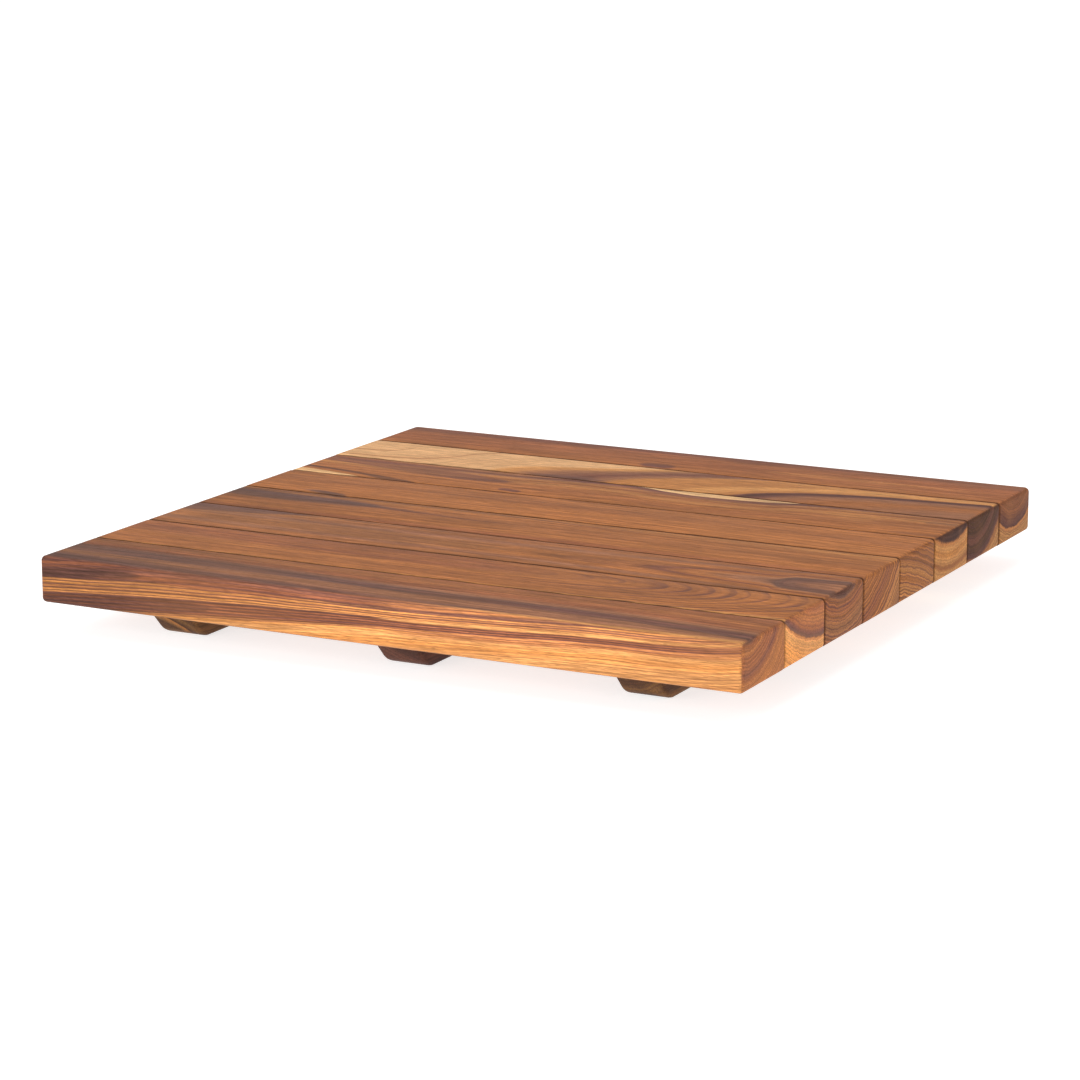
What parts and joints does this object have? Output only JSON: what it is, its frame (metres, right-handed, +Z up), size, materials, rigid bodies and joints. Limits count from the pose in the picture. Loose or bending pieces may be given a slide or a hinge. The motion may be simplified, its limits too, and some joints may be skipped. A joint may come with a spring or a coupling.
{
  "type": "bath mat",
  "caption": "Square rigid duckboard bath mat: wooden slats laid edge to edge on cross battens with sloping ends, screwed together from below.",
  "frame": {"origin": "under the centre of the mat, on the surface that the battens stand on", "axes": "+X along the slats to the right, +Y along the battens from the front to the back, +Z up; the front is the face towards -Y"},
  "size_m": [0.457, 0.4572, 0.0488],
  "materials": {
    "teak_slats": "oiled teak, satin, with dark mineral streaks and some golden sapwood",
    "teak_battens": "oiled teak, satin",
    "stainless_screws": "bare stainless steel"
  },
  "bodies": {
    "root": {"slat_1": "teak_slats", "slat_2": "teak_slats", "slat_3": "teak_slats", "slat_4": "teak_slats", "slat_5": "teak_slats", "slat_6": "teak_slats", "slat_7": "teak_slats", "slat_8": "teak_slats", "batten_left": "teak_battens", "batten_centre": "teak_battens", "batten_right": "teak_battens", "screw_left_1": "stainless_screws", "screw_left_2": "stainless_screws", "screw_left_3": "stainless_screws", "screw_left_4": "stainless_screws", "screw_left_5": "stainless_screws", "screw_left_6": "stainless_screws", "screw_left_7": "stainless_screws", "screw_left_8": "stainless_screws", "screw_centre_1": "stainless_screws", "screw_centre_2": "stainless_screws", "screw_centre_3": "stainless_screws", "screw_centre_4": "stainless_screws", "screw_centre_5": "stainless_screws", "screw_centre_6": "stainless_screws", "screw_centre_7": "stainless_screws", "screw_centre_8": "stainless_screws", "screw_right_1": "stainless_screws", "screw_right_2": "stainless_screws", "screw_right_3": "stainless_screws", "screw_right_4": "stainless_screws", "screw_right_5": "stainless_screws", "screw_right_6": "stainless_screws", "screw_right_7": "stainless_screws", "screw_right_8": "stainless_screws"}
  },
  "joints": []
}
